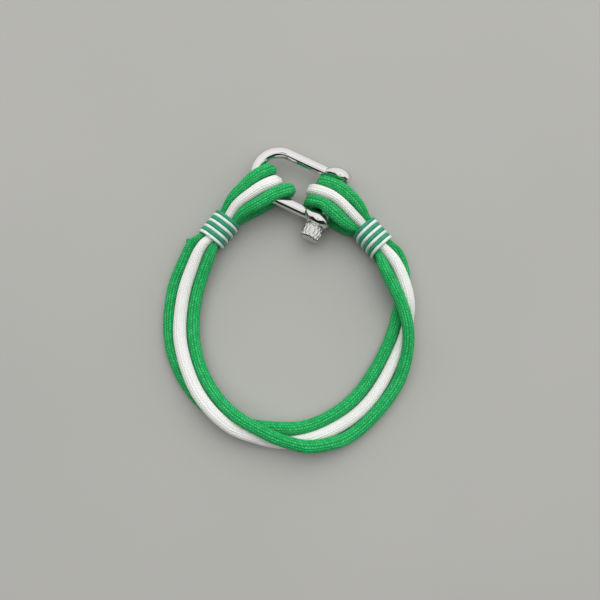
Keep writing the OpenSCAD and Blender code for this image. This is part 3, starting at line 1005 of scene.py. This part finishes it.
half = LEG_SPACING / 2
leg_x = np.arange(-LEG_END, -LEG_LENGTH, -BAR_STEP)
upper_leg = np.stack([leg_x, 0 * leg_x + half, 0 * leg_x], axis=1)
bow_turn = np.linspace(0, math.pi, round(math.pi * half / BAR_STEP))
bow_x, bow_y = -LEG_LENGTH - half * np.sin(bow_turn), half * np.cos(bow_turn)
bow_line = np.stack([bow_x, bow_y, 0 * bow_turn], axis=1)
bar_line = np.concatenate([upper_leg, bow_line, upper_leg[::-1] * (1, -1, 1)])
from_crease = (bar_line[:, 0] + CREASE_AT) / CREASE_WIDE
bar_reach = BAR / 2 - CREASE_DEPTH * np.exp(-from_crease**2)


def skin_line(line, reach, sides):
    along = np.gradient(line, axis=0)
    along /= np.linalg.norm(along, axis=1)[:, None]
    side = np.cross((0, 0, 1), along)
    turn = 2 * np.pi * np.arange(sides) / sides
    out = side[:, None] * np.cos(turn)[:, None]
    out[..., 2] += np.sin(turn)
    return line[:, None] + reach[:, None, None] * out


bar_rings = skin_line(bar_line, bar_reach, BAR_SIDES)
print("bar rings:", len(bar_rings))

# %% Turn a profile round the pin's axis
TURNED_SIDES = 96


def turned_rings(profile):
    """profile holds the place along the pin and the radius there."""
    profile = np.array(profile, float)
    turn = 2 * np.pi * np.arange(TURNED_SIDES) / TURNED_SIDES
    rings = np.zeros((len(profile), TURNED_SIDES, 3))
    rings[..., 0] = profile[:, 1:] * np.cos(turn)
    rings[..., 1] = profile[:, :1]
    rings[..., 2] = -profile[:, 1:] * np.sin(turn)
    return rings


def closed_loop_mesh(name, rings):
    """A ring-shaped mesh, for a profile that closes on itself."""
    count, sides, _ = rings.shape
    firsts = np.arange(count) * sides
    return smooth_piece(name, rings, ring_walls(firsts, np.roll(firsts, -1), sides))


print("a turned ring starts at:", turned_rings([(0, 1)])[0, 0])

# %% The eyes
EYE_EDGE = EYE_THICK / 2
EYE_MIDDLE = EYE_FACE + EYE_EDGE
HOLE_CHAMFER = 0.00018
EYE_STEPS = 40
HOLE_STEPS = 8
EYE_REACH = 0.0017
REACH_TURN = math.radians(35)
MERGE_FROM, MERGE_LONG = 0.0022, 0.0022
MERGE_THINNER = 0.16


def eye_profile(hand):
    """From the hole's near edge, over the round outside, back through the hole."""
    middle = hand * EYE_MIDDLE
    rows = []
    for step in range(EYE_STEPS + 1):
        angle = math.pi * (step / EYE_STEPS - 0.5)
        radius = EYE_WIDE / 2 - EYE_EDGE + EYE_EDGE * math.cos(angle)
        rows.append((middle + EYE_EDGE * math.sin(angle), radius))
    rows = [row for row in rows if row[1] > PIN_HOLE / 2 + HOLE_CHAMFER]
    chamfered = EYE_EDGE - HOLE_CHAMFER
    for step in range(HOLE_STEPS + 1):
        rows.append((middle + chamfered * (1 - 2 * step / HOLE_STEPS), PIN_HOLE / 2))
    return rows


def eye_rings(hand):
    """A turned eye, drawn out on the leg's side until it runs into the leg."""
    rings = turned_rings(eye_profile(hand))
    x, y, z = np.moveaxis(rings, -1, 0)
    radius = np.hypot(x, z)
    share = (radius - PIN_HOLE / 2) / (EYE_WIDE / 2 - PIN_HOLE / 2)
    longer = 1 + EYE_REACH * share / radius * np.exp(-(np.arctan2(z, -x) / REACH_TURN) ** 2)
    x, z = x * longer, z * longer
    merged = np.clip((-x - MERGE_FROM) / MERGE_LONG, 0, 1)
    merged = merged * merged * (3 - 2 * merged)
    beside = (y - hand * EYE_MIDDLE) * (1 - MERGE_THINNER * merged)
    y = hand * (EYE_MIDDLE + (half - EYE_MIDDLE) * merged) + beside
    return np.stack([x, y, z], axis=-1)


eyes = [closed_loop_mesh("eye", at_pin(eye_rings(hand))) for hand in (1, -1)]
bar_piece = ring_mesh("bar", at_pin(bar_rings))


def join_pieces(name, pieces):
    with bpy.context.temp_override(active_object=pieces[0], selected_editable_objects=pieces):
        bpy.ops.object.join()
    pieces[0].name = pieces[0].data.name = name
    return pieces[0]


shackle_piece = join_pieces("shackle_forging", [bar_piece, *eyes])
print(shackle_piece.name, "faces:", len(shackle_piece.data.polygons))

# %% [markdown]
# The screw pin
#
# The pin is turned from a bar: a plain shaft, a thin collar that meets the eye, and a head
# for the fingers. The head is knurled, which means that a wheel has pressed two sets of
# slanted grooves into it, and the metal between them stands up as small diamonds. At
# the head's free end each ridge stops in a notch, so the edge looks scalloped. The diamonds
# repeat by a rule, so Geometry Nodes make them on a plain round rod.

# %% The knurled head's tree
HEAD_WIDE = 0.0060
HEAD_LONG = 0.0040
COLLAR_LONG = 0.0003
COLLAR_WIDE = 0.0052
FACE_GAP = 0.0001
COLLAR_AT = -(EYE_FACE + EYE_THICK + FACE_GAP)
HEAD_AT = COLLAR_AT - COLLAR_LONG
HEAD_RINGS = 60
HEAD_SIDES = 288

knurl_tree = bpy.data.node_groups.new("knurled head", "GeometryNodeTree")
knurl_in, knurl_out = add_sockets(
    knurl_tree,
    [
        ("Geometry", "Geometry", None),
        ("Diameter", "Float", HEAD_WIDE),
        ("Length", "Float", HEAD_LONG),
        ("Ridges", "Float", 16.0),
        ("Ridge Depth", "Float", 0.00030),
        ("Ridge Slant", "Float", 0.0036),
        ("Edge", "Float", 0.0006),
        ("Finish", "Material", None),
    ],
    [("Geometry", "Geometry")],
)
knurl, press = tools_in(knurl_tree)
head_radius = knurl("MULTIPLY", knurl_in["Diameter"], 0.5)
feeds = {"Direction": (0, 0, 1), "Length": knurl_in["Length"]}
rod = press("GeometryNodeCurvePrimitiveLine", feeds, mode="DIRECTION")
feeds = {"Curve": rod, "Count": HEAD_RINGS}
cut = press("GeometryNodeResampleCurve", feeds)
feeds = {"Resolution": HEAD_SIDES, "Radius": head_radius}
rim = press("GeometryNodeCurvePrimitiveCircle", feeds)
feeds = {"Curve": cut, "Profile Curve": rim, "Fill Caps": True}
round_rod = press("GeometryNodeCurveToMesh", feeds)
print("corners on the plain rod:", HEAD_RINGS * HEAD_SIDES)

# %% Press the diamonds into the rod
DIAMOND_FLATNESS = 0.6
EDGE_DEPTH = -0.7

spot = press("GeometryNodeInputPosition")
x, y, z = node(knurl_tree, "ShaderNodeSeparateXYZ", {0: spot}).outputs
bearing = knurl("DIVIDE", knurl("ARCTAN2", y, x), 2 * math.pi)
counted = knurl("MULTIPLY", bearing, knurl_in["Ridges"])
climbed = knurl("DIVIDE", z, knurl_in["Ridge Slant"])


def ridge_height(place):
    """1 on a ridge's crest and 0 in the groove beside it."""
    wave = knurl("COSINE", knurl("MULTIPLY", place, 2 * math.pi))
    return knurl("MULTIPLY_ADD", wave, 0.5, 0.5)


one_way = ridge_height(knurl("ADD", counted, climbed))
other_way = ridge_height(knurl("SUBTRACT", counted, climbed))
diamond = knurl("MAXIMUM", knurl("MULTIPLY", one_way, other_way), 0.0)
diamond = knurl("POWER", diamond, DIAMOND_FLATNESS)
pressed = knurl("MULTIPLY", knurl("SUBTRACT", diamond, 1.0), knurl_in["Ridge Depth"])
from_end = knurl("MINIMUM", z, knurl("SUBTRACT", knurl_in["Length"], z))
edge_share = knurl("SUBTRACT", 1.0, knurl("DIVIDE", from_end, knurl_in["Edge"]))
near_end = knurl("POWER", knurl("MAXIMUM", edge_share, 0.0), 2.0)
rounding = knurl("MULTIPLY", near_end, knurl("MULTIPLY", knurl_in["Edge"], EDGE_DEPTH))
inward = knurl("ADD", pressed, rounding)
scale = knurl("ADD", 1.0, knurl("DIVIDE", inward, head_radius))
feeds = {0: knurl("MULTIPLY", x, scale), 1: knurl("MULTIPLY", y, scale), 2: z}
kept = press("ShaderNodeCombineXYZ", feeds)
feeds = {"Geometry": round_rod, "Position": kept}
shaped = press("GeometryNodeSetPosition", feeds)
end_tree(knurl_tree, shaped, knurl_in["Finish"], knurl_out)
print("knurl tree nodes:", len(knurl_tree.nodes))

# %% [markdown]
# Polished steel
#
# Polished steel has almost no look of its own: it mirrors the room. It could be painted with
# light and dark stripes, but they would stay put when the view moves. So the finish is simple,
# a bright metal with a faint unevenness in its gloss, and the room round it, which is made
# further down, does the rest. Handling leaves fine wear lines in the plating, and they are in
# the gloss only. The knurled head is rougher, because its ridges were pressed, not polished.

# %% A node group for the wear lines
WEAR_RANGE = (0.3, 0.7)

wear = bpy.data.node_groups.new("handling wear", "ShaderNodeTree")
wear_in, wear_out = add_sockets(
    wear,
    [("Place", "Vector", None), ("Lines", "Vector", (120.0, 2600.0, 2600.0)), ("Detail", "Float", 3.0)],
    [("Wear", "Float")],
)
_, rub = tools_in(wear)
feeds = {"Vector": wear_in["Place"], "Rotation": (0, 0, -SHACKLE_TURN), "Scale": wear_in["Lines"]}
rubbed = noise(wear, rub("ShaderNodeMapping", feeds), 1.0, wear_in["Detail"])
feed(wear, wear_out["Wear"], spread(wear, rubbed, *WEAR_RANGE))
print("wear group nodes:", len(wear.nodes))

# %% The steel's two finishes
def steel_finish(name, colour, smoothest, roughest):
    finish, tree, shader = new_finish(name, smoothest, metallic=1.0)
    shader.inputs["Base Color"].default_value = colour
    worn = placed_group(tree, wear)["Wear"]
    feed(tree, shader.inputs["Roughness"], spread(tree, worn, 0, 1, smoothest, roughest))
    return finish


polished_steel = steel_finish("polished steel", (0.82, 0.80, 0.79, 1), 0.04, 0.09)
knurled_steel = steel_finish("knurled steel", (0.74, 0.73, 0.71, 1), 0.14, 0.24)
print("steel finishes:", polished_steel.name, "and", knurled_steel.name)

# %% The pin's shaft and its collar
PIN_TIP = EYE_FACE + EYE_THICK - FACE_GAP
TIP_EDGE = 0.0003
COLLAR_EDGE = 0.0001
END_RADIUS = 0.0002
shaft_profile = [
    (PIN_TIP, END_RADIUS),
    (PIN_TIP, PIN / 2 - TIP_EDGE),
    (PIN_TIP - TIP_EDGE, PIN / 2),
    (COLLAR_AT, PIN / 2),
    (COLLAR_AT, COLLAR_WIDE / 2 - COLLAR_EDGE),
    (COLLAR_AT - COLLAR_EDGE, COLLAR_WIDE / 2),
    (HEAD_AT + COLLAR_EDGE, COLLAR_WIDE / 2),
    (HEAD_AT, COLLAR_WIDE / 2 - COLLAR_EDGE),
    (HEAD_AT, END_RADIUS),
]
shaft = ring_mesh("shaft", at_pin(turned_rings(shaft_profile)))
shaft.data.materials.append(polished_steel)
print("shaft and collar, length in mm:", round((PIN_TIP - HEAD_AT) * 1000, 2))

HEAD_SEAT = 0.00002
head = grown_piece("head", knurl_tree, Finish=knurled_steel)
spots = np.zeros(len(head.data.vertices) * 3)
head.data.vertices.foreach_get("co", spots)
spots = spots.reshape(-1, 3)[:, [0, 2, 1]] * (1, -1, 1) + (0, HEAD_AT + HEAD_SEAT, 0)
head.data.vertices.foreach_set("co", at_pin(spots).ravel())
head.data.update()
pin_piece = join_pieces("knurled_pin", [shaft, head])
shackle_piece.data.materials.append(polished_steel)
for piece, body, solid in ((shackle_piece, "bracelet", "shackle"), (pin_piece, "pin", "screw_pin")):
    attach(piece, body)
    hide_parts(solid)
    print(piece.name, "mm:", [round(v * 1000, 1) for v in piece.dimensions])

# %% [markdown]
# Table and light
#
# The table is a plain pale sheet with faint clouds in it. One big soft light hangs almost
# overhead, a little towards the clasp and to the right, so the shadows are short and faint. A
# small lamp would draw hard shadows between the strands. The steel would mirror the big light as
# one broad glare, so the light is hidden from reflections, and the room takes its place there.

# %% The table
TABLE_REACH = 3.0
CLOUD_SCALE = 9.0
TABLE_DARKER = (0.375, 0.372, 0.352, 1)
TABLE_LIGHTER = (0.395, 0.391, 0.370, 1)

corners = np.array([(-1, -1, 0), (1, -1, 0), (1, 1, 0), (-1, 1, 0)]) * TABLE_REACH
table = bpy.data.meshes.new("table")
table.from_pydata(corners.tolist(), [], [(0, 1, 2, 3)])
table_piece = show(table)
table_finish, table_tree, table_shader = new_finish("table", 0.55)
cloud = spread(table_tree, noise(table_tree, own_place(table_tree), CLOUD_SCALE), 0.3, 0.7)
pale = blend_colours(table_tree, cloud, TABLE_DARKER, TABLE_LIGHTER)
feed(table_tree, table_shader.inputs["Base Color"], pale)
table.materials.append(table_finish)
table_piece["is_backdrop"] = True
print("table's side in metres:", 2 * TABLE_REACH)

# %% The light
KEY_PLACE = (0.06, 0.25, 0.62)
KEY_AIM = (0, 0, 0.005)

key_data = bpy.data.lights.new("key", "AREA")
key_data.shape = "DISK"
key_data.size, key_data.energy = 0.95, 2.9
key = bpy.data.objects.new("key", key_data)
key.location = KEY_PLACE
east, north, rise = np.array(KEY_PLACE) - KEY_AIM
tilt, turn = math.atan2(math.hypot(east, north), rise), math.atan2(north, east) + math.pi / 2
key.rotation_euler = (tilt, 0, turn)
scene.collection.objects.link(key)
key.visible_glossy = False
print("light's width in metres:", round(key_data.size, 2))

# %% [markdown]
# The room that the steel mirrors
#
# A real studio has white card overhead, and walls and people lower down. They could be built as
# objects, but a sky that is drawn by direction costs nothing and never casts a shadow. Overhead
# it is as bright as white paper, and lower down pale grey. Towards the wearer stand a dark
# wall, a dark figure in front of it, and a small grey patch above. Cloth hardly notices them,
# but the steel mirrors them as the thin dark lines that make polished metal look like metal. The
# camera itself sees a plain pale wall behind the table.

# %% Start the sky
world = bpy.data.worlds.new("studio")
scene.world = world
world.use_nodes = True
sky_tree = world.node_tree
sky, _ = tools_in(sky_tree)
sky_way = node(sky_tree, "ShaderNodeTexCoord").outputs["Generated"]
sky_x, sky_y, sky_up = node(sky_tree, "ShaderNodeSeparateXYZ", {0: sky_way}).outputs
print("world:", world.name, "with", len(sky_tree.nodes), "nodes so far")

# %% Paint the sky
FIGURE_WAY = (0.110, -0.899, 0.423)
PATCH_WAY = (-0.171, -0.352, 0.920)
ROOM_GREY = (0.22, 0.23, 0.22, 1)
ROOM_DARK = (0.02, 0.022, 0.02, 1)
WALL_BEHIND = (0.60, 0.60, 0.58, 1)


def sky_ramp(share, *stops):
    ramp = node(sky_tree, "ShaderNodeValToRGB", {0: share})
    ramp.color_ramp.interpolation = "EASE"
    for spot, (place, grey) in enumerate(stops):
        stop = ramp.color_ramp.elements[spot] if spot < 2 else ramp.color_ramp.elements.new(place)
        stop.position, stop.color = place, (grey, grey, grey, 1)
    return ramp.outputs[0]


def sky_patch(direction, edge, core):
    """A round patch of the sky. Its edge and its core are cosines of half its width."""
    feeds = {0: sky_way, 1: direction}
    facing = node(sky_tree, "ShaderNodeVectorMath", feeds, operation="DOT_PRODUCT")
    return spread(sky_tree, facing.outputs["Value"], edge, core)


overhead = sky_ramp(sky_up, (0.0, 0.84), (1.0, 1.0), (0.70, 0.90))
towards = sky("MULTIPLY_ADD", sky_y, -0.95, sky("MULTIPLY", sky_x, -0.3))
near_table = sky_ramp(sky_up, (0.0, 1.0), (0.74, 0.0), (0.66, 1.0))
dark_wall = sky("MULTIPLY", spread(sky_tree, towards, 0.10, 0.35), near_table)
dark_figure = sky_patch(FIGURE_WAY, 0.875, 0.915)
grey_patch = sky_patch(PATCH_WAY, 0.985, 0.996)
dark = sky("MAXIMUM", dark_wall, dark_figure)
room = blend_colours(sky_tree, grey_patch, overhead, ROOM_GREY)
room = blend_colours(sky_tree, dark, room, ROOM_DARK)
seen = node(sky_tree, "ShaderNodeLightPath").outputs["Is Camera Ray"]
room = blend_colours(sky_tree, seen, room, WALL_BEHIND)
feed(sky_tree, sky_tree.nodes["Background"].inputs["Color"], room)
print("sky nodes:", len(sky_tree.nodes))

# %% How far the looks grow past the solids
low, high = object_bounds()
grown = [(h - l) - (ch - cl) for l, h, cl, ch in zip(low, high, cad_low, cad_high)]
print("grown by mm:", [round(v * 1000, 2) for v in grown])
